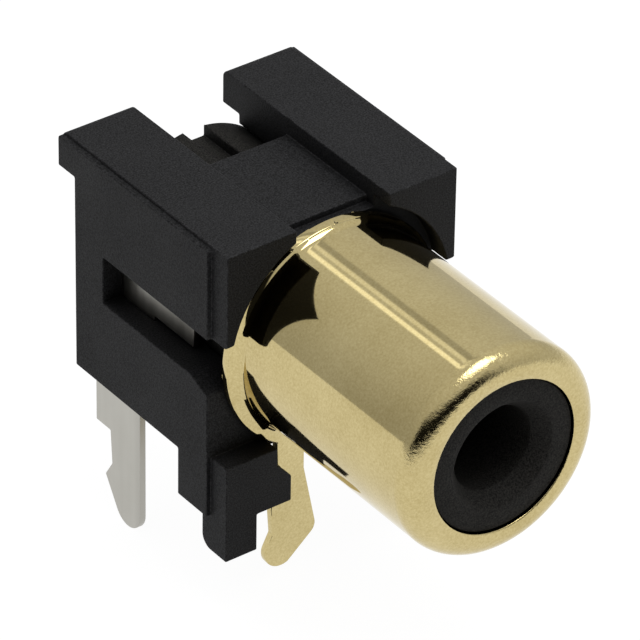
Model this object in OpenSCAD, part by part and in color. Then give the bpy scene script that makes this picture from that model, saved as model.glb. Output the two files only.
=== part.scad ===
// Right-angle phono socket for a circuit board, in millimetres.
// X runs to the right as seen from the front, Y to the rear and Z up, away from the board.
// The origin lies on the barrel's axis, in the plane of the housing's front face.
// A black moulding carries a gilt shell; a black insulator and a tinned contact sit inside.

/* [Barrel] */
// Outer diameter of the barrel, which the plug's ring grips
barrel_d = 8.3; // [7.9:0.05:8.6]
// Height of the barrel's axis over the board
axis_h = 6.5; // [6:0.1:8]
// Length of the barrel, from the front face to the tip of the lip
barrel_l = 9.4; // [7:0.1:12]
// Thickness of the shell's sheet
sheet_t = 0.4; // [0.25:0.05:0.45]
// Outer radius of the lip that is rolled inward at the mouth
lip_r = 0.85; // [0.7:0.05:1]
// Angle by which the lip is rolled on past the plane of the mouth
lip_turn = 20; // [5:5:35]
// Radius of the flare between the barrel and its flange
flare_r = 0.45; // [0.3:0.05:0.6]
// Radius of the flange's outer edge
flange_edge_r = 4.58; // [4.5:0.02:4.7]
// Drop of that edge's centre below the axis, so that the flange is narrow on top
flange_drop = 0.25; // [0:0.01:0.3]

/* [Ground tab] */
// Width of the tab's neck
tab_neck_w = 1.2; // [0.8:0.05:1.6]
// Distance of the neck's middle from the axis, to the left
tab_offset = 1.76; // [1.5:0.02:2]
// Depth that the tab reaches below the board's upper face
tab_reach = 3.2; // [2.6:0.1:4]
// Radius of the tab's tip
tab_tip_r = 0.7; // [0.5:0.05:0.9]
// Distance by which the hooked tip leans to the left of the neck's middle
tab_lean = 0.36; // [0:0.02:0.6]
// Radius of the bulge on the tab's right side, which jams in the board's hole
tab_bulge_r = 0.5; // [0.3:0.05:0.7]
// Height of that bulge over the tip's centre
tab_bulge_rise = 0.62; // [0.3:0.02:1]
// Height over the board at which the neck starts to widen
tab_fork_h = 0.75; // [0.3:0.05:1.2]

/* [Housing] */
// Width of the front plate
front_w = 9.92; // [9.8:0.02:12]
// Thickness of the front plate, which is also the depth of the seat for the flange
plate_t = 0.92; // [0.7:0.02:1.4]
// Distance by which the side panels stand proud of the front plate's sides
panel_proud = 0.2; // [0.1:0.05:0.4]
// Drop from the top of the ribs to the top of the side panels
panel_drop = 0.15; // [0.05:0.05:0.4]
// Depth of the body, from the front face to the rear face
body_depth = 9; // [8.8:0.1:11]
// Height of the ribs' top over the axis
rib_top = 4.95; // [4.8:0.05:6]
// Width of the open recess between the ribs
recess_w = 4.02; // [3:0.02:5]
// Height of the recess floor over the axis
floor_top = 4.22; // [4.1:0.02:4.5]
// Distance from the front face to the recess floor's front edge
floor_start = 1.36; // [1.1:0.02:3]
// Thickness of the wall over the insulator in front of that edge
sill_t = 0.2; // [0.15:0.05:0.3]
// Distance from the front face to the pocket behind the recess floor
pocket_start = 6.1; // [4:0.1:7.4]
// Distance by which the ribs stick out past the rear face
overhang = 1; // [0.4:0.1:2]
// Height of the overhang's underside over the axis
overhang_under = 3.55; // [3.2:0.05:4.2]
// Radius of the ribs' upper rear corner
rib_corner_r = 0.3; // [0.1:0.05:0.6]
// Depth of the body's underside below the axis
body_under = 4.5; // [4.4:0.05:5]
// Radius of the arch in the front plate, in which the flange lies
arch_r = 4.75; // [4.7:0.01:4.9]
// Height of the arch's centre over the axis
arch_rise = 0.14; // [0:0.02:0.2]

/* [Side windows] */
// Height of the window's upper edge over the axis
window_top = 1.08; // [0.85:0.02:1.6]
// Depth of the window's lower edge below the axis
window_low = 0.88; // [0.82:0.02:1.6]
// Distance from the front face to the window's rear end
window_end = 7.27; // [5:0.01:7.9]
// Height of the slope at the window's lower front corner
window_slope = 0.42; // [0.1:0.02:0.8]
// Height over the axis at which the front plate's side strips end
strip_low = 0.86; // [0.6:0.02:1]
// Size of the cut at the strips' lower front corner
strip_cut = 0.34; // [0.1:0.02:0.6]

/* [Feet and pegs] */
// Width of each foot
foot_w = 2.23; // [1.8:0.01:2.4]
// Depth of each foot, from the front face
foot_depth = 2.67; // [2:0.01:4]
// Depth of the foot's front top below the axis
foot_drop = 4; // [3.9:0.05:4.3]
// Distance by which the ledge before the tab sticks out inward from the foot
ledge_reach = 0.63; // [0.3:0.01:0.9]
// Depth of the ledge's top below the axis
ledge_drop = 4.8; // [4.6:0.05:5.4]
// Size of the chamfer on the ledge's inner top corner
ledge_chamfer = 0.62; // [0.2:0.02:0.8]
// Room between the back of the ledge and the tab
ledge_room = 0.07; // [0.02:0.01:0.2]
// Width of each locating peg
peg_w = 1.37; // [1:0.01:1.7]
// Depth of each locating peg along the side
peg_depth = 1.45; // [1:0.05:2]
// Length of each locating peg below the board's upper face
peg_l = 1.55; // [1:0.05:2.2]
// Radius of the peg's lower rear corner
peg_r = 0.5; // [0.2:0.05:0.8]

/* [Insulator] */
// Radial room between the insulator and the shell or the housing around it
insulator_room = 0.05; // [0.02:0.01:0.1]
// Distance by which the insulator's face lies behind the tip of the lip
face_recess = 0.15; // [0.05:0.05:0.4]
// Radial room between the insulator's nose and the edge of the lip
nose_room = 0.06; // [0.02:0.01:0.2]
// Diameter of the hole for the plug's pin
pin_hole_d = 3.3; // [3.25:0.01:3.5]
// Diameter of the funnel's mouth
funnel_d = 4.3; // [3.8:0.05:4.8]
// Depth of the funnel
funnel_depth = 0.6; // [0.2:0.05:1]
// Distance from the front face to the chamber that holds the contact
chamber_start = -0.6; // [-2:0.1:1]
// Radial room around the contact's socket in that chamber
chamber_room = 0.25; // [0.1:0.05:0.4]
// Width of the keyway on top of the insulator
key_w = 0.9; // [0.5:0.05:1.4]
// Depth of the keyway
key_depth = 0.46; // [0.2:0.02:0.8]

/* [Contact] */
// Thickness of the contact's sheet
contact_t = 0.27; // [0.2:0.01:0.35]
// Inner diameter of the sprung socket that grips the plug's pin
socket_d = 3; // [2.9:0.05:3.1]
// Number of slits that part the socket into fingers
slit_count = 4; // [2:1:6]
// Width of each slit
slit_w = 0.4; // [0.2:0.05:0.6]
// Length of the slits
slit_l = 5.2; // [3:0.1:6]
// Room between the front of the socket and the chamber's end
socket_gap = 1; // [0.8:0.05:1.4]
// Distance from the housing's rear face to the contact's crosspiece
cross_inset = 0.3; // [0.2:0.05:0.6]
// Gap between the insulator's bore and the strip beside it
strip_gap = 0.22; // [0.05:0.01:0.35]
// Height of that strip
strip_h = 1.5; // [1:0.05:1.6]
// Distance from the front face to the strip's front end
strip_start = 3; // [2:0.1:5]
// Room around the contact in the housing's slots
slot_room = 0.06; // [0.03:0.01:0.1]
// Width of the leg above its shoulder
leg_w = 2.73; // [2.2:0.01:3]
// Distance from the front face to the leg's front edge
leg_start = 5.38; // [4.8:0.01:5.6]
// Distance of the leg's outer face from the side panel's face
leg_inset = 0.26; // [0.2:0.02:0.5]
// Depth that the leg reaches below the board's upper face
leg_reach = 3.64; // [3:0.02:4.4]
// Width of the leg just below its shoulder
leg_neck_w = 1.85; // [1.5:0.05:2.1]
// Width of the leg across its barb
barb_w = 2.17; // [1.9:0.01:2.4]
// Depth of the barb's point below the board's upper face
barb_drop = 2.1; // [1.8:0.05:2.4]
// Height of the slope over the barb's point
barb_slope = 0.68; // [0.3:0.02:1]
// Radius of the leg's tip
leg_tip_r = 0.78; // [0.6:0.02:0.85]

/* [Hidden] */
$fn = 96;
past = 1;               // how far a cut runs on past the face that it opens
black = "#2c2c2f";
gilt = "#c9b581";
tin = "#d8d5ce";

barrel_r = barrel_d / 2;
shell_bore_r = barrel_r - sheet_t;
flange_r = barrel_r + flare_r;
insulator_r = shell_bore_r - insulator_room;
lip_centre_r = barrel_r - lip_r;
lip_start = barrel_l - lip_r;
lip_edge_r = lip_centre_r - lip_r * sin(lip_turn);
strip_x = shell_bore_r + strip_gap + contact_t;
flange_front = plate_t - sheet_t;

front_x = front_w / 2;
panel_x = front_x + panel_proud;
recess_x = recess_w / 2;
rib_end = body_depth + overhang;
foot_x = front_x - foot_w;
ledge_depth = flange_front - ledge_room;

socket_r = socket_d / 2 + contact_t;
chamber_r = socket_r + chamber_room;
cross_back = body_depth - cross_inset;
cross_front = cross_back - contact_t;
leg_x = panel_x - leg_inset;
leg_end = leg_start + leg_w;
board_z = -axis_h;
shelf_top = 0.5 - body_under;

// Places what follows so that its 2D Y axis points forward along the barrel.
module along_barrel() {
    rotate([90, 0, 0]) children();
}

// A profile drawn in Y and Z, from one X to another.
module side_slab(x_from, x_to) {
    translate([x_from, 0, 0])
        rotate([90, 0, 90])
            linear_extrude(x_to - x_from) children();
}

// A profile drawn in X and Z, from one Y to another.
module front_slab(y_from, y_to) {
    translate([0, y_to, 0])
        rotate([90, 0, 0])
            linear_extrude(y_to - y_from) children();
}

// A box between two opposite corners.
module box(low, high) {
    translate(low) cube(high - low);
}

// The same on the left and on the right.
module both_sides() {
    children();
    mirror([1, 0, 0]) children();
}

// The waste of a rounded corner at the origin, whose material lies towards -X and -Y.
module corner_waste(r) {
    translate([-r, -r])
        difference() {
            square(r + past);
            circle(r);
        }
}

// A bend of sheet about the origin, from one angle to another, at most 180 degrees.
module sheet_bend(r_out, t, from, to) {
    reach = 4 * r_out;
    middle = (from + to) / 2;
    difference() {
        circle(r_out);
        circle(r_out - t);
        // Two half planes take away what lies outside the bend's angles.
        rotate(from) translate([-reach, -2 * reach]) square([2 * reach, 2 * reach]);
        rotate(to) translate([-reach, 0]) square([2 * reach, 2 * reach]);
    }
}

// Housing

// The wall, rib, front strip and foot of one side, seen from the side.
module side_outline() {
    difference() {
        polygon([
            [0, rib_top], [0, strip_low + strip_cut], [strip_cut, strip_low], [plate_t, strip_low],
            [plate_t, -foot_drop], [0, -foot_drop], [0, board_z], [foot_depth, board_z],
            [foot_depth, -body_under], [body_depth, -body_under],
            [body_depth, overhang_under], [rib_end, overhang_under], [rib_end, rib_top]
        ]);
        translate([rib_end, rib_top]) corner_waste(rib_corner_r);
    }
}

// The side panel, which starts behind the front plate and ends short of the ribs' top.
module panel_outline() {
    intersection() {
        side_outline();
        translate([plate_t, board_z]) square([rib_end, axis_h + rib_top - panel_drop]);
    }
}

// The block between the side walls, with the floor of the recess on top and a low sill before it.
module core_outline() {
    sill_top = shell_bore_r + sill_t;
    polygon([
        [plate_t, -body_under], [plate_t, sill_top], [floor_start, sill_top],
        [floor_start, floor_top], [body_depth, floor_top], [body_depth, -body_under]
    ]);
}

// The window through a side wall, with the slope at its lower front corner.
module window_outline() {
    polygon([
        [-past, window_top], [window_end, window_top], [window_end, -window_low],
        [2 * plate_t + 0.1, -window_low], [plate_t, -window_low - window_slope],
        [-past, -window_low - window_slope]
    ]);
}

// The foot's ledge, which lies before the ground tab and keeps it from moving forward.
module ledge_outline() {
    top = -ledge_drop;
    inner = foot_x - ledge_reach;
    polygon([
        [foot_x, board_z], [inner, board_z], [inner, top - ledge_chamfer],
        [foot_x - 0.05, top], [foot_x, top]
    ]);
}

module peg_outline() {
    translate([0, board_z]) mirror([0, 1])
        difference() {
            translate([0, -past]) square([peg_depth, peg_l + past]);
            translate([peg_depth, peg_l]) corner_waste(peg_r);
        }
}

// The side wall with its foot cut to width, its ledge and its peg, on the right.
module side_wall() {
    difference() {
        union() {
            side_slab(recess_x, front_x) side_outline();
            side_slab(front_x, panel_x) panel_outline();
        }
        box([0, -past, board_z - past], [foot_x, foot_depth + past, -body_under]);
        // The front plate stays clear of the ground tab.
        box([0, -past, board_z - past], [foot_x, plate_t, 0]);
    }
    front_slab(0, ledge_depth) ledge_outline();
    side_slab(front_x - peg_w, front_x) peg_outline();
}

// Room for the contact on the left: strip, crosspiece and leg slide in from the rear.
module contact_slots() {
    inner = -strip_x + contact_t + slot_room;
    outer = -strip_x - slot_room;
    half_h = strip_h / 2 + slot_room;
    rear = body_depth + past;
    box([outer, window_end - past, -half_h], [inner, rear, half_h]);
    box([outer, leg_start - slot_room, board_z], [inner, rear, 0]);
    box([-leg_x - slot_room, leg_start - slot_room, board_z],
        [inner, rear, shelf_top + slot_room]);
    box([outer, cross_front - slot_room, -half_h], [0, rear, half_h]);
}

module housing() {
    color(black)
    difference() {
        union() {
            both_sides() side_wall();
            side_slab(-recess_x, recess_x) core_outline();
        }
        // The seat of the flange, which opens the front plate as an arch
        along_barrel()
            translate([0, arch_rise, -plate_t]) cylinder(r = arch_r, h = plate_t + past);
        // The bore for the insulator
        along_barrel()
            translate([0, 0, -body_depth - past])
                cylinder(r = insulator_r + insulator_room, h = body_depth + 2 * past);
        // The pocket between the ribs, open to the insulator and to the rear
        box([-recess_x, pocket_start, floor_top / 2],
            [recess_x, rib_end + past, rib_top + past]);
        both_sides() side_slab(insulator_r / 2, panel_x + past) window_outline();
        contact_slots();
    }
}

// Shell

// Half section of the shell: 2D X is the radius, 2D Y runs forward from the front face.
module shell_section() {
    flare_y = flare_r - flange_front;
    translate([flange_r, flare_y]) sheet_bend(flare_r + sheet_t, sheet_t, 180, 270);
    translate([flange_r, -plate_t]) square([2 * flare_r, sheet_t]);
    translate([shell_bore_r, flare_y]) square([sheet_t, lip_start - flare_y]);
    translate([lip_centre_r, lip_start]) sheet_bend(lip_r, sheet_t, 0, 90 + lip_turn);
}

// The tab in its own plane, with the board at zero: a straight neck, a bulge to the right and a tip hooked to the left.
module tab_outline() {
    left = -tab_offset - tab_neck_w / 2;
    right = -tab_offset + tab_neck_w / 2;
    tip = [-tab_offset - tab_lean, -tab_reach + tab_tip_r];
    bulge = [right + 0.03, tip.y + tab_bulge_rise];
    root = axis_h - barrel_r;
    polygon([
        [left, root], [left, tab_fork_h], [left - 0.22, -0.6], [left - 0.14, -1.7],
        tip + tab_tip_r * [-cos(20), sin(20)], tip,
        tip + tab_tip_r * [cos(65), -sin(65)], bulge + tab_bulge_r * [cos(50), -sin(50)],
        bulge, bulge + tab_bulge_r * [cos(14), sin(14)], [right, tab_fork_h], [right, root]
    ]);
    translate(tip) circle(tab_tip_r);
    translate(bulge) circle(tab_bulge_r);
}

// What the trimming die takes off round the flange.
module flange_waste() {
    along_barrel()
        translate([0, 0, -plate_t - past])
            difference() {
                cylinder(r = 2 * flange_r, h = plate_t + 2 * past);
                translate([0, -flange_drop, -past])
                    cylinder(r = flange_edge_r, h = plate_t + 4 * past);
            }
}

module shell() {
    color(gilt)
    union() {
        difference() {
            along_barrel() rotate_extrude() shell_section();
            flange_waste();
        }
        front_slab(flange_front, plate_t) translate([0, board_z]) tab_outline();
    }
}

// Insulator

// Half section of the insulator: 2D X is the radius, 2D Y runs forward from the front face.
module insulator_section() {
    face = barrel_l - face_recess;
    nose_r = lip_edge_r - nose_room;
    polygon([
        [pin_hole_d / 2, -chamber_start], [pin_hole_d / 2, face - funnel_depth],
        [funnel_d / 2, face], [nose_r, face], [nose_r, lip_start + 0.4],
        [insulator_r, lip_start - 0.1], [insulator_r, -body_depth],
        [chamber_r, -body_depth], [chamber_r, -chamber_start]
    ]);
}

module insulator() {
    half_h = strip_h / 2 + slot_room;
    color(black)
    difference() {
        along_barrel() rotate_extrude() insulator_section();
        // The keyway on top, seen from the rear and through the pocket
        box([-key_w / 2, pocket_start - past, insulator_r - key_depth],
            [key_w / 2, body_depth + past, insulator_r + past]);
        // The slot for the contact's crosspiece
        box([-insulator_r - past, cross_front - slot_room, -half_h],
            [0, body_depth + past, half_h]);
    }
}

// Centre contact

// The socket's slits, spread evenly round the axis.
module slits() {
    front = chamber_start + socket_gap;
    for (i = [0 : slit_count - 1])
        along_barrel()
            rotate((i + 0.5) * 360 / slit_count)
                translate([0, -slit_w / 2, -front - slit_l])
                    cube([2 * socket_r, slit_w, slit_l + past]);
}

// The round socket on the axis, closed by the crosspiece at the rear.
module socket() {
    front = chamber_start + socket_gap;
    difference() {
        along_barrel()
            translate([0, 0, -cross_back]) cylinder(r = socket_r, h = cross_back - front);
        along_barrel()
            translate([0, 0, -cross_front]) cylinder(r = socket_d / 2, h = cross_front + past);
        slits();
    }
}

// The leg seen from the side, with the board at zero: shoulder on the board, barb below it.
module leg_outline() {
    front = leg_start;
    tip = [front + leg_tip_r, leg_tip_r - leg_reach];
    neck_back = front + leg_neck_w;
    top = axis_h + shelf_top;
    polygon([
        [front, top], [front, tip.y], tip,
        tip + leg_tip_r * [cos(30), -sin(30)], [front + barb_w, -barb_drop],
        [neck_back - 0.1, barb_slope - barb_drop], [neck_back, 0],
        [leg_end, 0], [leg_end, top]
    ]);
    translate(tip) circle(leg_tip_r);
}

module centre_contact() {
    half_h = strip_h / 2;
    color(tin)
    union() {
        socket();
        // Crosspiece behind the socket, strip along the side wall and arm down to the shelf
        box([-strip_x, cross_front, -half_h], [0, cross_back, half_h]);
        box([-strip_x, strip_start, -half_h], [-strip_x + contact_t, cross_back, half_h]);
        box([-strip_x, leg_start, shelf_top - contact_t], [-strip_x + contact_t, leg_end, 0]);
        // Shelf that carries the leg outward under the side wall
        box([-leg_x, leg_start, shelf_top - contact_t],
            [-strip_x + contact_t, leg_end, shelf_top]);
        side_slab(-leg_x, contact_t - leg_x) translate([0, board_z]) leg_outline();
    }
}

housing();
shell();
insulator();
centre_contact();
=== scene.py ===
import math

import bmesh
import bpy
from mathutils import Matrix, Vector


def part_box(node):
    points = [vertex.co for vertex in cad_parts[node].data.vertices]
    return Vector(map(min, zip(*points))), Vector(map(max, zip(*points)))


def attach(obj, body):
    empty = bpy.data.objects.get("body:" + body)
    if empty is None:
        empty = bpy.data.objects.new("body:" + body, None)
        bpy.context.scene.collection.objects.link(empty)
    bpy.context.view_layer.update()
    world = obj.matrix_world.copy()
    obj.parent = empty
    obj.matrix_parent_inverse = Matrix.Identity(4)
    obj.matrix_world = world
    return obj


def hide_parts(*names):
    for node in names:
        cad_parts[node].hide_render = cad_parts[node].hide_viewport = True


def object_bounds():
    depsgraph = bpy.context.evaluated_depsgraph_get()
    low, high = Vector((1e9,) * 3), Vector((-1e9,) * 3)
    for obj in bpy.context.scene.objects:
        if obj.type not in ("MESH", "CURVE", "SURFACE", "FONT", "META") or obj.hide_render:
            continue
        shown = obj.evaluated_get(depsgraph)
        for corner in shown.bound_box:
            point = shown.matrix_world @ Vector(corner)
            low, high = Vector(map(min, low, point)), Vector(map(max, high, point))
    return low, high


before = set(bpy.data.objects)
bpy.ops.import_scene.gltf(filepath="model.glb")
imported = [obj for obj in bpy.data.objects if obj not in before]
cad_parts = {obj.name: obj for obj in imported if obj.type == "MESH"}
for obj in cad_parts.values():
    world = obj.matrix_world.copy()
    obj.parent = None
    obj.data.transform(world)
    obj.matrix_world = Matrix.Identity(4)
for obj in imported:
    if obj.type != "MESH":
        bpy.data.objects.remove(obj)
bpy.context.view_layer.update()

MM = 0.001

# Housing
# One black moulding of glass-filled plastic that carries everything else. Its mould was spark
# eroded, so the faces are matt and finely grained.

edge_radius = 0.045 * MM
weld_distance = 0.002 * MM
flat_angle = math.radians(0.6)
sharp_angle = math.radians(28)


def linear(red, green, blue):
    """A colour as it is seen, from 0 to 255, in the linear values that a shader takes."""
    def channel(value):
        share = value / 255
        return share / 12.92 if share <= 0.04045 else ((share + 0.055) / 1.055) ** 2.4
    return channel(red), channel(green), channel(blue), 1.0


def node_at(tree, kind, values=None, **settings):
    """A new node in a tree, with settings of its own and values for its input sockets."""
    node = tree.nodes.new(kind)
    for key, value in settings.items():
        setattr(node, key, value)
    for key, value in (values or {}).items():
        node.inputs[key].default_value = value
    return node


def math_node(tree, operation, first, second=None, clamp=False):
    """A Math node on sockets or plain numbers, and its output."""
    node = node_at(tree, "ShaderNodeMath", operation=operation, use_clamp=clamp)
    for index, value in enumerate(v for v in (first, second) if v is not None):
        if isinstance(value, bpy.types.NodeSocket):
            tree.links.new(value, node.inputs[index])
        else:
            node.inputs[index].default_value = value
    return node.outputs[0]


def mix_colours(tree, share, first, second):
    """The output of a colour mix between two sockets or plain colours."""
    node = node_at(tree, "ShaderNodeMix", data_type="RGBA")
    for index, value in ((0, share), (6, first), (7, second)):
        if isinstance(value, bpy.types.NodeSocket):
            tree.links.new(value, node.inputs[index])
        else:
            node.inputs[index].default_value = value
    return node.outputs[2]


def new_group(name, inputs, outputs):
    """An empty shader node group with its named sockets, and its two end nodes."""
    group = bpy.data.node_groups.new(name, "ShaderNodeTree")
    for label, kind, value in inputs:
        socket = group.interface.new_socket(label, in_out="INPUT", socket_type=kind)
        if value is not None:
            socket.default_value = value
    for label, kind in outputs:
        group.interface.new_socket(label, in_out="OUTPUT", socket_type=kind)
    return group, group.nodes.new("NodeGroupInput"), group.nodes.new("NodeGroupOutput")


def edge_glint_group():
    """A mask for painted glints: 1 on the rounded bends of sharp edges, broken up by noise, and 0 on
    the faces.
    """
    group, given, result = new_group(
        "painted edge glints",
        [("Width", "NodeSocketFloat", 0.06 * MM), ("Breakup", "NodeSocketFloat", 9000.0),
         ("Amount", "NodeSocketFloat", 1.0)],
        [("Mask", "NodeSocketFloat")])
    place = node_at(group, "ShaderNodeTexCoord")
    rounded = node_at(group, "ShaderNodeBevel", samples=4)
    true = node_at(group, "ShaderNodeNewGeometry")
    facing = node_at(group, "ShaderNodeVectorMath", operation="DOT_PRODUCT")
    patches = node_at(group, "ShaderNodeTexNoise", {"Detail": 3.0, "Roughness": 0.6})
    group.links.new(given.outputs["Width"], rounded.inputs["Radius"])
    group.links.new(rounded.outputs["Normal"], facing.inputs[0])
    group.links.new(true.outputs["True Normal"], facing.inputs[1])
    group.links.new(place.outputs["Object"], patches.inputs["Vector"])
    group.links.new(given.outputs["Breakup"], patches.inputs["Scale"])
    bend = math_node(group, "SUBTRACT", 1.0, facing.outputs["Value"], clamp=True)
    bend = math_node(group, "MULTIPLY", bend, 6.0, clamp=True)
    broken = math_node(group, "SUBTRACT", patches.outputs["Fac"], 0.48)
    broken = math_node(group, "MULTIPLY", broken, 7.0, clamp=True)
    mask = math_node(group, "MULTIPLY", bend, broken)
    mask = math_node(group, "MULTIPLY", mask, given.outputs["Amount"], clamp=True)
    group.links.new(mask, result.inputs["Mask"])
    return group


def grain_group():
    """Fine grain in three sizes: a height for bumps, a slow drift of tone and rare bright specks."""
    group, given, result = new_group(
        "fine grain",
        [("Scale", "NodeSocketFloat", 9000.0), ("Speck Share", "NodeSocketFloat", 0.05)],
        [("Height", "NodeSocketFloat"), ("Tone", "NodeSocketFloat"), ("Specks", "NodeSocketFloat")])
    place = node_at(group, "ShaderNodeTexCoord")
    fine = node_at(group, "ShaderNodeTexNoise", {"Detail": 4.0, "Roughness": 0.65})
    drift = node_at(group, "ShaderNodeTexNoise", {"Scale": 420.0, "Detail": 3.0})
    cells = node_at(group, "ShaderNodeTexVoronoi", feature="F1")
    pick = node_at(group, "ShaderNodeTexWhiteNoise", noise_dimensions="3D")
    for texture in (fine, drift, cells):
        group.links.new(place.outputs["Object"], texture.inputs["Vector"])
    group.links.new(given.outputs["Scale"], fine.inputs["Scale"])
    group.links.new(given.outputs["Scale"], cells.inputs["Scale"])
    group.links.new(cells.outputs["Position"], pick.inputs["Vector"])
    rare = math_node(group, "LESS_THAN", pick.outputs["Value"], given.outputs["Speck Share"])
    near = math_node(group, "LESS_THAN", cells.outputs["Distance"], 0.2)
    group.links.new(fine.outputs["Fac"], result.inputs["Height"])
    group.links.new(drift.outputs["Fac"], result.inputs["Tone"])
    group.links.new(math_node(group, "MULTIPLY", rare, near), result.inputs["Specks"])
    return group


def corner_shade_group():
    """A mask for painted shade: 1 on open faces, falling to 0 in slots, grooves and inner corners."""
    group, given, result = new_group(
        "painted corner shade", [("Reach", "NodeSocketFloat", 1.2 * MM)], [("Mask", "NodeSocketFloat")])
    open_air = node_at(group, "ShaderNodeAmbientOcclusion", samples=8)
    spread = node_at(group, "ShaderNodeMapRange", {"From Min": 0.25, "From Max": 0.72})
    group.links.new(given.outputs["Reach"], open_air.inputs["Distance"])
    group.links.new(open_air.outputs["AO"], spread.inputs["Value"])
    group.links.new(spread.outputs["Result"], result.inputs["Mask"])
    return group


painted_edge_glints = edge_glint_group()
fine_grain = grain_group()
painted_corner_shade = corner_shade_group()


def use_group(tree, group, **values):
    """A group placed in a material, with this material's own values."""
    node = node_at(tree, "ShaderNodeGroup", node_tree=group)
    for label, value in values.items():
        node.inputs[label.replace("_", " ").title()].default_value = value
    return node


def new_material(name):
    """An empty node material with its Principled shader linked to the output."""
    material = bpy.data.materials.new(name)
    material.use_nodes = True
    material.node_tree.nodes.clear()
    shader = node_at(material.node_tree, "ShaderNodeBsdfPrincipled")
    output = node_at(material.node_tree, "ShaderNodeOutputMaterial")
    material.node_tree.links.new(shader.outputs[0], output.inputs[0])
    return material, material.node_tree, shader


def shaded(colour, share):
    """A colour made darker or lighter by one factor."""
    return tuple(share * value for value in colour[:3]) + (1.0,)


def moulded_plastic(name, base, speck_and_glint, speck_share, roughness):
    """Matt black plastic: grained, with painted pale glints along its edges and painted shade that
    darkens its corners.
    """
    material, tree, shader = new_material(name)
    grain = use_group(tree, fine_grain, scale=17000.0, speck_share=speck_share)
    unshaded_share = use_group(tree, painted_corner_shade, reach=1.6 * MM).outputs["Mask"]
    edge_glints = use_group(tree, painted_edge_glints, width=0.05 * MM, breakup=5200.0, amount=0.8)
    darker = shaded(base, 0.1)
    lighter = shaded(base, 2.6)
    spread = node_at(tree, "ShaderNodeMapRange", {"From Min": 0.36, "From Max": 0.64})
    tree.links.new(grain.outputs["Height"], spread.inputs["Value"])
    colour = mix_colours(tree, spread.outputs["Result"], darker, lighter)
    # painted highlight: the rounded edges are mixed towards a pale colour, as glints where light
    # catches them
    share = math_node(tree, "MULTIPLY", edge_glints.outputs["Mask"], 0.55)
    colour = mix_colours(tree, share, colour, speck_and_glint)
    share = math_node(tree, "MULTIPLY", grain.outputs["Specks"], 0.22)
    colour = mix_colours(tree, share, colour, speck_and_glint)
    # painted shade: slots, grooves and inner corners are darkened towards a much deeper black, where
    # shade falls
    colour = mix_colours(tree, unshaded_share, shaded(base, 0.15), colour)
    tree.links.new(colour, shader.inputs["Base Color"])
    shader.inputs["Specular IOR Level"].default_value = 0.13
    uneven = math_node(tree, "MULTIPLY", grain.outputs["Tone"], 0.16)
    tree.links.new(math_node(tree, "ADD", uneven, roughness - 0.08), shader.inputs["Roughness"])
    bump = node_at(tree, "ShaderNodeBump", {"Strength": 0.5, "Distance": 0.01 * MM})
    tree.links.new(grain.outputs["Height"], bump.inputs["Height"])
    tree.links.new(bump.outputs["Normal"], shader.inputs["Normal"])
    shader.inputs["IOR"].default_value = 1.5
    return material


def welded_copy(node, name):
    """A CAD node's loose triangles as one closed mesh whose flat faces are whole."""
    mesh = bpy.data.meshes.new(name)
    shape = bmesh.new()
    shape.from_mesh(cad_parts[node].data)
    bmesh.ops.remove_doubles(shape, verts=shape.verts, dist=weld_distance)
    bmesh.ops.dissolve_limit(shape, angle_limit=flat_angle, verts=shape.verts, edges=shape.edges)
    shape.to_mesh(mesh)
    shape.free()
    piece = bpy.data.objects.new(name, mesh)
    bpy.context.scene.collection.objects.link(piece)
    return piece


def round_edges(piece, radius, segments=2):
    """Small true radii on every sharp edge, as a Bevel modifier."""
    bevel = piece.modifiers.new("edge radii", "BEVEL")
    bevel.width = radius
    bevel.segments = segments
    bevel.limit_method = "ANGLE"
    bevel.angle_limit = sharp_angle
    bevel.use_clamp_overlap = False
    bevel.miter_outer = "MITER_ARC"
    even = piece.modifiers.new("even faces", "WEIGHTED_NORMAL")
    even.weight = 100


def made_plain(piece):
    """The piece with its modifiers turned into plain mesh and then removed."""
    graph = bpy.context.evaluated_depsgraph_get()
    mesh = bpy.data.meshes.new_from_object(piece.evaluated_get(graph))
    mesh.name = piece.name
    piece.modifiers.clear()
    piece.data = mesh
    return piece


housing_plastic = moulded_plastic(
    "charcoal moulded plastic", linear(28, 28, 29), linear(110, 110, 112), 0.035, 0.62)
housing = welded_copy("housing", "housing_moulding")
housing.data.materials.append(housing_plastic)
housing.data.shade_smooth()
round_edges(housing, edge_radius)
made_plain(housing)
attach(housing, "root")
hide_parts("housing")

# Shell
# The outer contact: one pressing of brass sheet, drawn to a tube, flared to a flange at the root,
# rolled inward at the mouth and plated with gold. Its ground tab hangs from the flange.

shell_low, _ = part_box("shell")
insulator_low, insulator_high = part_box("insulator")
barrel_r = 4.15 * MM
sheet = 0.32 * MM
lip_r = 0.85 * MM
lip_turn = math.radians(20)
flare_r = 0.45 * MM
flange_r = barrel_r + flare_r
flange_edge_r = 4.58 * MM
flange_drop = 0.28 * MM
flange_front = 0.52 * MM
flange_rear = flange_front + sheet
barrel_tip = shell_low.y


def tree_with(name, sizes):
    """A Geometry Nodes tree with a geometry input, named inputs for its sizes and an output."""
    tree = bpy.data.node_groups.new(name, "GeometryNodeTree")
    tree.interface.new_socket("Geometry", in_out="INPUT", socket_type="NodeSocketGeometry")
    for label, kind in sizes:
        tree.interface.new_socket(label, in_out="INPUT", socket_type=kind)
    tree.interface.new_socket("Geometry", in_out="OUTPUT", socket_type="NodeSocketGeometry")
    return tree, tree.nodes.new("NodeGroupInput"), tree.nodes.new("NodeGroupOutput")


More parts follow.
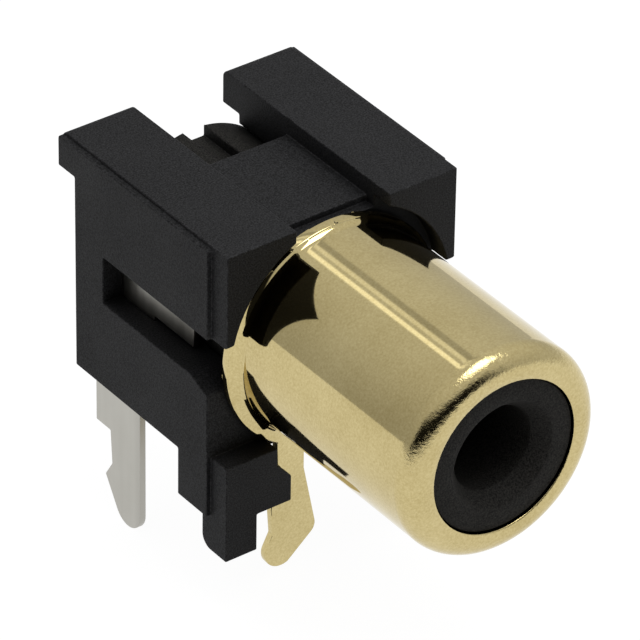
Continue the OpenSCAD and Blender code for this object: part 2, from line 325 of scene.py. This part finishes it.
def turning_tree():
    """Turns a section about the Y axis. The section's X is the radius and its Y the place along it."""
    tree, given, result = tree_with(
        "turned section",
        [("Turns", "NodeSocketInt"), ("Material", "NodeSocketMaterial")])
    link = tree.links.new
    size = node_at(tree, "GeometryNodeAttributeDomainSize", component="CURVE")
    link(given.outputs["Geometry"], size.inputs["Geometry"])
    last = math_node(tree, "SUBTRACT", size.outputs["Point Count"], 1)
    steps = math_node(tree, "ADD", given.outputs["Turns"], 1)
    grid = node_at(tree, "GeometryNodeMeshGrid", {"Size X": 1.0, "Size Y": 1.0})
    link(size.outputs["Point Count"], grid.inputs["Vertices X"])
    link(steps, grid.inputs["Vertices Y"])
    here = node_at(tree, "GeometryNodeInputPosition")
    apart = node_at(tree, "ShaderNodeSeparateXYZ")
    link(here.outputs[0], apart.inputs[0])
    along = math_node(tree, "ADD", apart.outputs["X"], 0.5)
    along = math_node(tree, "MULTIPLY", along, last)
    along = math_node(tree, "ROUND", along)
    sample = node_at(tree, "GeometryNodeSampleIndex", data_type="FLOAT_VECTOR", domain="POINT")
    link(given.outputs["Geometry"], sample.inputs["Geometry"])
    link(here.outputs[0], sample.inputs["Value"])
    link(along, sample.inputs["Index"])
    section = node_at(tree, "ShaderNodeSeparateXYZ")
    link(sample.outputs[0], section.inputs[0])
    turn = math_node(tree, "MULTIPLY", apart.outputs["Y"], math.tau)
    across = math_node(
        tree, "MULTIPLY", section.outputs["X"], math_node(tree, "COSINE", turn))
    upward = math_node(
        tree, "MULTIPLY", section.outputs["X"], math_node(tree, "SINE", turn))
    spot = node_at(tree, "ShaderNodeCombineXYZ")
    link(across, spot.inputs["X"])
    link(section.outputs["Y"], spot.inputs["Y"])
    link(upward, spot.inputs["Z"])
    place = node_at(tree, "GeometryNodeSetPosition")
    link(grid.outputs["Mesh"], place.inputs["Geometry"])
    link(spot.outputs[0], place.inputs["Position"])
    weld = node_at(tree, "GeometryNodeMergeByDistance", {"Distance": 0.0005 * MM})
    link(place.outputs[0], weld.inputs["Geometry"])
    realize = node_at(tree, "GeometryNodeRealizeInstances")
    link(weld.outputs[0], realize.inputs["Geometry"])
    finish = node_at(tree, "GeometryNodeSetMaterial")
    link(realize.outputs[0], finish.inputs["Geometry"])
    link(given.outputs["Material"], finish.inputs["Material"])
    link(finish.outputs[0], result.inputs["Geometry"])
    return tree


turned_section = turning_tree()


def arc(centre, radius, start, end, steps=12):
    """Points on an arc of a section, from one angle to another, in degrees."""
    angles = [math.radians(start + (end - start) * i / steps) for i in range(steps + 1)]
    return [(centre[0] + radius * math.cos(a), centre[1] + radius * math.sin(a)) for a in angles]


def turned(name, section, turns, material):
    """A closed section turned about the Y axis by Geometry Nodes into one plain mesh."""
    curve = bpy.data.curves.new(name + " section", "CURVE")
    curve.dimensions = "3D"
    spline = curve.splines.new("POLY")
    spline.points.add(len(section))
    for point, (radius, along) in zip(spline.points, section + section[:1]):
        point.co = (radius, along, 0.0, 1.0)
    drawn = bpy.data.objects.new(name + " section", curve)
    bpy.context.scene.collection.objects.link(drawn)
    modifier = drawn.modifiers.new("turned", "NODES")
    modifier.node_group = turned_section
    sockets = {s.name: s.identifier for s in turned_section.interface.items_tree
               if s.in_out == "INPUT"}
    modifier[sockets["Turns"]] = turns
    modifier[sockets["Material"]] = material
    graph = bpy.context.evaluated_depsgraph_get()
    graph.update()
    mesh = bpy.data.meshes.new_from_object(drawn.evaluated_get(graph))
    mesh.name = name
    bpy.data.objects.remove(drawn)
    piece = bpy.data.objects.new(name, mesh)
    bpy.context.scene.collection.objects.link(piece)
    shape = bmesh.new()
    shape.from_mesh(mesh)
    bmesh.ops.recalc_face_normals(shape, faces=shape.faces)
    shape.to_mesh(mesh)
    shape.free()
    mesh.shade_smooth()
    return piece


def gold_plate():
    """Bright gold over drawn brass, with fine lines along the barrel and a crinkled lip."""
    material, tree, shader = new_material("bright gold plate")
    grain = use_group(tree, fine_grain, scale=11000.0, speck_share=0.004)
    place = node_at(tree, "ShaderNodeTexCoord")
    stretch = node_at(tree, "ShaderNodeMapping", {"Scale": (1.0, 0.06, 1.0)})
    tree.links.new(place.outputs["Object"], stretch.inputs["Vector"])
    lines = node_at(tree, "ShaderNodeTexNoise", {"Scale": 2600.0, "Detail": 4.0, "Roughness": 0.6})
    tree.links.new(stretch.outputs[0], lines.inputs["Vector"])
    speckled = math_node(tree, "MULTIPLY_ADD", math_node(
        tree, "SUBTRACT", grain.outputs["Height"], 0.5), 1.9)
    tree.links.new(grain.outputs["Tone"], speckled.node.inputs[2])
    speckled.node.use_clamp = True
    colour = mix_colours(tree, speckled, gold_deep, gold_pale)
    tree.links.new(colour, shader.inputs["Base Color"])
    shader.inputs["Metallic"].default_value = 1.0
    uneven = math_node(tree, "MULTIPLY", lines.outputs["Fac"], 0.06)
    tree.links.new(math_node(tree, "ADD", uneven, 0.03), shader.inputs["Roughness"])
    heights = math_node(tree, "MULTIPLY", lines.outputs["Fac"], 0.5)
    heights = math_node(tree, "ADD", heights, math_node(tree, "MULTIPLY", grain.outputs["Height"], 0.5))
    bump = node_at(tree, "ShaderNodeBump", {"Strength": 0.12, "Distance": 0.004 * MM})
    tree.links.new(heights, bump.inputs["Height"])
    apart = node_at(tree, "ShaderNodeSeparateXYZ")
    tree.links.new(place.outputs["Object"], apart.inputs[0])
    rolled = node_at(tree, "ShaderNodeMapRange",
                     {"From Min": crinkle_start, "From Max": crinkle_full})
    tree.links.new(apart.outputs["Y"], rolled.inputs["Value"])
    crinkles = node_at(tree, "ShaderNodeTexNoise", {"Scale": 5200.0, "Detail": 4.0, "Roughness": 0.7})
    tree.links.new(place.outputs["Object"], crinkles.inputs["Vector"])
    crinkled = node_at(tree, "ShaderNodeBump", {"Strength": 0.6, "Distance": 0.03 * MM})
    tree.links.new(math_node(tree, "MULTIPLY", rolled.outputs["Result"], crinkles.outputs["Fac"]),
                   crinkled.inputs["Height"])
    tree.links.new(bump.outputs["Normal"], crinkled.inputs["Normal"])
    tree.links.new(crinkled.outputs["Normal"], shader.inputs["Normal"])
    return material


lip_y = barrel_tip + lip_r
crinkle_start = lip_y + 0.1 * MM
crinkle_full = lip_y - 0.45 * MM
gold_deep = (0.46, 0.37, 0.165, 1.0)
gold_pale = (0.64, 0.54, 0.28, 1.0)
gold = gold_plate()

flare_y = flange_rear - sheet - flare_r
lip_centre_r = barrel_r - lip_r
barrel_section = (
    [(flange_r + flare_r, flange_rear), (flange_r + flare_r, flange_rear - sheet)]
    + arc((flange_r, flare_y), flare_r, 90, 180)
    + arc((lip_centre_r, lip_y), lip_r, 0, -90 - math.degrees(lip_turn), 20)
    + arc((lip_centre_r, lip_y), lip_r - sheet, -90 - math.degrees(lip_turn), 0, 14)
    + arc((flange_r, flare_y), flare_r + sheet, 180, 90)
)
barrel_turns = 256
shell = turned("shell_pressing", barrel_section, barrel_turns, gold)


def tab_outline():
    """The ground tab's outline in X and Z: straight neck, bulge to the right, tip hooked left."""
    board = -6.5 * MM
    neck_left, neck_right = -2.36 * MM, -1.16 * MM
    tip, tip_r = (-2.12 * MM, board - 2.5 * MM), 0.7 * MM
    bulge, bulge_r = (-1.13 * MM, board - 1.88 * MM), 0.5 * MM
    points = [(neck_left, -barrel_r), (neck_left, board + 0.75 * MM),
              (neck_left - 0.22 * MM, board - 0.6 * MM), (neck_left - 0.14 * MM, board - 1.7 * MM)]
    points += arc(tip, tip_r, 160, 295, 16)
    points += arc(bulge, bulge_r, -50, 14, 10)
    points += [(neck_right, board + 0.75 * MM), (neck_right, -barrel_r)]
    return points


def plate(name, outline, low, high, material):
    """A flat plate cut to an outline in X and Z, from one Y to another."""
    mesh = bpy.data.meshes.new(name)
    shape = bmesh.new()
    face = shape.faces.new([shape.verts.new((x, low, z)) for x, z in outline])
    solid = bmesh.ops.extrude_face_region(shape, geom=[face])
    moved = [v for v in solid["geom"] if isinstance(v, bmesh.types.BMVert)]
    bmesh.ops.translate(shape, verts=moved, vec=(0, high - low, 0))
    bmesh.ops.recalc_face_normals(shape, faces=shape.faces)
    shape.to_mesh(mesh)
    shape.free()
    mesh.materials.append(material)
    piece = bpy.data.objects.new(name, mesh)
    bpy.context.scene.collection.objects.link(piece)
    return piece


def join_solid(piece, other, operation):
    """An exact union or cut between two closed meshes, which uses the other one up."""
    step = piece.modifiers.new(operation.lower(), "BOOLEAN")
    step.object = other
    step.operation = operation
    step.solver = "EXACT"
    made_plain(piece)
    bpy.data.objects.remove(other)


ring_front, ring_rear, ring_r = -MM, 2 * MM, 1.5 * flange_r
trimming_ring = turned("trimming ring", [
    (flange_edge_r, ring_front), (ring_r, ring_front), (ring_r, ring_rear),
    (flange_edge_r, ring_rear)], barrel_turns, gold)
trimming_ring.location = (0, 0, -flange_drop)
join_solid(shell, trimming_ring, "DIFFERENCE")
tab = plate("ground tab", tab_outline(), flange_rear - sheet, flange_rear, gold)
join_solid(shell, tab, "UNION")
shell.data.shade_smooth()
round_edges(shell, 0.04 * MM, 3)
made_plain(shell)
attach(shell, "root")
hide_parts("shell")

# Insulator
# The black moulding inside the shell, pushed in from the rear. Its face shows at the mouth with a
# funnel and the hole for the plug's pin, and its round back with a keyway shows between the ribs.

insulator_plastic = moulded_plastic(
    "black insulator plastic", linear(28, 27, 25), linear(100, 100, 100), 0.02, 0.7)
face_y = insulator_low.y
rear_y = insulator_high.y
insulator_r = insulator_high.x
nose_r = 2.98 * MM
hole_r, funnel_r, funnel_depth = 1.65 * MM, 2.15 * MM, 0.6 * MM
chamber_r, chamber_y = 2.02 * MM, -0.6 * MM
shoulder_front, shoulder_rear = -8.95 * MM, -8.45 * MM
key_half, key_start, key_floor = 0.45 * MM, 5.1 * MM, 3.24 * MM
slot_half, slot_start, slot_reach = 0.81 * MM, 8.37 * MM, 4.7 * MM
past_rear = 10 * MM
insulator_section = [
    (hole_r, chamber_y), (hole_r, face_y + funnel_depth), (funnel_r, face_y), (nose_r, face_y),
    (nose_r, shoulder_front), (insulator_r, shoulder_rear), (insulator_r, rear_y),
    (chamber_r, rear_y), (chamber_r, chamber_y)]
insulator = turned("insulator_moulding", insulator_section, 192, insulator_plastic)


def block(name, low, high, material):
    """A box between two corners, used to cut with."""
    return plate(name, [(low[0], low[2]), (high[0], low[2]), (high[0], high[2]), (low[0], high[2])],
                 low[1], high[1], material)


keyway = block("keyway", (-key_half, key_start, key_floor), (key_half, past_rear, 4.7 * MM),
               insulator_plastic)
join_solid(insulator, keyway, "DIFFERENCE")
slot = block("slot", (-slot_reach, slot_start, -slot_half), (0, past_rear, slot_half),
             insulator_plastic)
join_solid(insulator, slot, "DIFFERENCE")
insulator.data.shade_smooth()
round_edges(insulator, 0.04 * MM)
made_plain(insulator)
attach(insulator, "root")
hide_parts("insulator")

# Centre contact
# One pressing of bronze strip, tinned all over, with painted shade darkening the strip towards the
# front of the left window. It
# slides in from the rear: sprung socket, crosspiece, strip in the window, and the leg.


def tinned_sheet():
    """Satin tin with faint rolling lines, and painted shade that darkens it towards the front of the
    strip.
    """
    material, tree, shader = new_material("satin tin plate")
    grain = use_group(tree, fine_grain, scale=4200.0, speck_share=0.01)
    place = node_at(tree, "ShaderNodeTexCoord")
    stretch = node_at(tree, "ShaderNodeMapping", {"Scale": (1.0, 1.0, 0.05)})
    tree.links.new(place.outputs["Object"], stretch.inputs["Vector"])
    lines = node_at(tree, "ShaderNodeTexNoise", {"Scale": 3800.0, "Detail": 4.0})
    tree.links.new(stretch.outputs[0], lines.inputs["Vector"])
    colour = mix_colours(tree, grain.outputs["Tone"], linear(170, 168, 160), linear(186, 184, 177))
    apart = node_at(tree, "ShaderNodeSeparateXYZ")
    tree.links.new(place.outputs["Object"], apart.inputs[0])
    # painted shade: the tin darkens to a dull grey towards the front of the strip, by its place along
    # Y, unevenly with the grain tone
    painted_shade = node_at(tree, "ShaderNodeMapRange", {"From Min": painted_shade_start, "From Max": painted_shade_full})
    tree.links.new(apart.outputs["Y"], painted_shade.inputs["Value"])
    painted_shade = math_node(tree, "MULTIPLY", painted_shade.outputs["Result"], grain.outputs["Tone"])
    colour = mix_colours(tree, math_node(tree, "MULTIPLY", painted_shade, 1.1, clamp=True), colour,
                         linear(88, 85, 78))
    tree.links.new(colour, shader.inputs["Base Color"])
    shader.inputs["Metallic"].default_value = 1.0
    uneven = math_node(tree, "MULTIPLY", lines.outputs["Fac"], 0.2)
    tree.links.new(math_node(tree, "ADD", uneven, 0.24), shader.inputs["Roughness"])
    bump = node_at(tree, "ShaderNodeBump", {"Strength": 0.25, "Distance": 0.006 * MM})
    tree.links.new(lines.outputs["Fac"], bump.inputs["Height"])
    tree.links.new(bump.outputs["Normal"], shader.inputs["Normal"])
    return material


# Where the painted shade on the strip starts and where it is full, along Y.
painted_shade_start, painted_shade_full = 5.8 * MM, 3.6 * MM
tin = tinned_sheet()
contact = welded_copy("centre_contact", "contact_pressing")
contact.data.materials.append(tin)
contact.data.shade_smooth()
round_edges(contact, 0.03 * MM)
made_plain(contact)
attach(contact, "root")
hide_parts("centre_contact")

# Studio
# A white table in a light tent whose front is open, with two long lamps along the roof and one
# softbox overhead, seen by a camera with a long lens from the front left.

object_low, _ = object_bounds()
floor_mesh = bpy.data.meshes.new("table")
reach = 600 * MM
floor_z = object_low.z
floor_mesh.from_pydata(
    [(-reach, -reach, floor_z), (reach, -reach, floor_z), (reach, reach, floor_z),
     (-reach, reach, floor_z)], [], [(0, 1, 2, 3)])
table = bpy.data.objects.new("table", floor_mesh)
bpy.context.scene.collection.objects.link(table)


def table_white():
    """Matt white that shows as plain white, yet keeps the soft shadow of what stands on it."""
    material = bpy.data.materials.new("matt white table")
    material.use_nodes = True
    tree = material.node_tree
    tree.nodes.clear()
    output = node_at(tree, "ShaderNodeOutputMaterial")
    matt = node_at(tree, "ShaderNodeBsdfDiffuse", {"Color": (0.8, 0.8, 0.8, 1.0)})
    soft = node_at(tree, "ShaderNodeBsdfDiffuse", {"Color": (0.09, 0.09, 0.09, 1.0)})
    glow = node_at(tree, "ShaderNodeEmission", {"Color": (1.0, 1.0, 1.0, 1.0), "Strength": 0.955})
    both = node_at(tree, "ShaderNodeAddShader")
    tree.links.new(soft.outputs[0], both.inputs[0])
    tree.links.new(glow.outputs[0], both.inputs[1])
    path = node_at(tree, "ShaderNodeLightPath")
    seen = math_node(
        tree, "ADD", path.outputs["Is Camera Ray"], path.outputs["Is Glossy Ray"], clamp=True)
    seen = math_node(tree, "ADD", seen, path.outputs["Is Transmission Ray"], clamp=True)
    pick = node_at(tree, "ShaderNodeMixShader")
    tree.links.new(seen, pick.inputs[0])
    tree.links.new(matt.outputs[0], pick.inputs[1])
    tree.links.new(both.outputs[0], pick.inputs[2])
    tree.links.new(pick.outputs[0], output.inputs[0])
    return material


table.data.materials.append(table_white())

tent_light = 0.58
roof_gain, right_gain = 0.23, 0.09
open_front_level = 0.012
roof_bands = ((0.8, 4.5, 0.9), (9.2, 4.5, 0.38), (15.0, 7.0, -0.25))
world = bpy.data.worlds.new("light tent")
bpy.context.scene.world = world
world.use_nodes = True
tent = world.node_tree
tent.nodes.clear()
sky = node_at(tent, "ShaderNodeBackground", {"Color": (1.0, 1.0, 1.0, 1.0)})
direction = node_at(tent, "ShaderNodeTexCoord")
apart = node_at(tent, "ShaderNodeSeparateXYZ")
tent.links.new(direction.outputs["Generated"], apart.inputs[0])


def tent_ramp(value, start, end, low, high):
    """A smooth change of strength between two places of the tent."""
    ramp = node_at(tent, "ShaderNodeMapRange", {
        "From Min": start, "From Max": end, "To Min": low, "To Max": high})
    ramp.interpolation_type = "SMOOTHSTEP"
    tent.links.new(value, ramp.inputs["Value"])
    return ramp.outputs["Result"]


def tent_band(centre, width, strength):
    """A long lamp or gap overhead, parallel to the barrel, seen as one thin line along it."""
    angle = math_node(tent, "ARCTAN2", apart.outputs["X"], apart.outputs["Z"])
    off = math_node(tent, "ABSOLUTE", math_node(tent, "SUBTRACT", angle, math.radians(centre)))
    half = math.radians(width) / 2
    band = tent_ramp(off, half * 0.6, half * 1.4, strength, 0.0)
    return math_node(tent, "MULTIPLY", band, tent_ramp(apart.outputs["Y"], 0.35, 0.5, 0.0, 1.0))


height = tent_ramp(apart.outputs["Z"], 0.0, 1.0, 0.0, roof_gain)
side = math_node(tent, "MULTIPLY", apart.outputs["X"], right_gain)
walls = math_node(tent, "ADD", math_node(tent, "ADD", height, side), tent_light)
frontward = math_node(tent, "ADD", math_node(tent, "MULTIPLY", apart.outputs["X"], -0.53),
                      math_node(tent, "MULTIPLY", apart.outputs["Y"], -0.85))
open_front = math_node(tent, "MULTIPLY", tent_ramp(frontward, 0.45, 0.62, 0.0, 1.0),
                       tent_ramp(apart.outputs["Z"], 0.62, 0.5, 0.0, 1.0))
walls = math_node(tent, "MULTIPLY", walls, math_node(tent, "SUBTRACT", 1.0, open_front))
for centre, width, strength in roof_bands:
    walls = math_node(tent, "ADD", walls, tent_band(centre, width, strength))
tent.links.new(math_node(tent, "MAXIMUM", walls, open_front_level), sky.inputs["Strength"])
tent_output = node_at(tent, "ShaderNodeOutputWorld")
tent.links.new(sky.outputs[0], tent_output.inputs[0])


def soft_lamp(name, place, aim, width, height, power):
    """A rectangular softbox at a place, turned towards a point."""
    lamp = bpy.data.lights.new(name, "AREA")
    lamp.shape = "RECTANGLE"
    lamp.size = width
    lamp.size_y = height
    lamp.energy = power
    holder = bpy.data.objects.new(name, lamp)
    bpy.context.scene.collection.objects.link(holder)
    holder.location = place
    holder.rotation_euler = (Vector(aim) - Vector(place)).to_track_quat("-Z", "Y").to_euler()


soft_lamp("overhead softbox", (24 * MM, -34 * MM, 170 * MM), (0, 0, 0), 80 * MM, 80 * MM, 0.10)

camera_azimuth = math.radians(-36.954)
camera_elevation = math.radians(34.536)
camera_roll = math.radians(0.962)
camera_place = Vector((-110.58, -145.72, 126.31)) * MM
camera_data = bpy.data.cameras.new("long lens")
camera_data.lens = 356.04
camera_data.sensor_width = 36.0
camera_data.clip_start = 10 * MM
camera_data.clip_end = 3.0
camera = bpy.data.objects.new("camera", camera_data)
bpy.context.scene.collection.objects.link(camera)
bpy.context.scene.camera = camera
back = Vector((math.sin(camera_azimuth) * math.cos(camera_elevation),
               -math.cos(camera_azimuth) * math.cos(camera_elevation),
               math.sin(camera_elevation)))
level = Vector((math.cos(camera_azimuth), math.sin(camera_azimuth), 0))
up = back.cross(level)
right = level * math.cos(camera_roll) + up * math.sin(camera_roll)
up = up * math.cos(camera_roll) - level * math.sin(camera_roll)
turn = Matrix((right, up, back)).transposed()
camera.matrix_world = Matrix.Translation(camera_place) @ turn.to_4x4()

bpy.context.scene.view_settings.view_transform = "Standard"
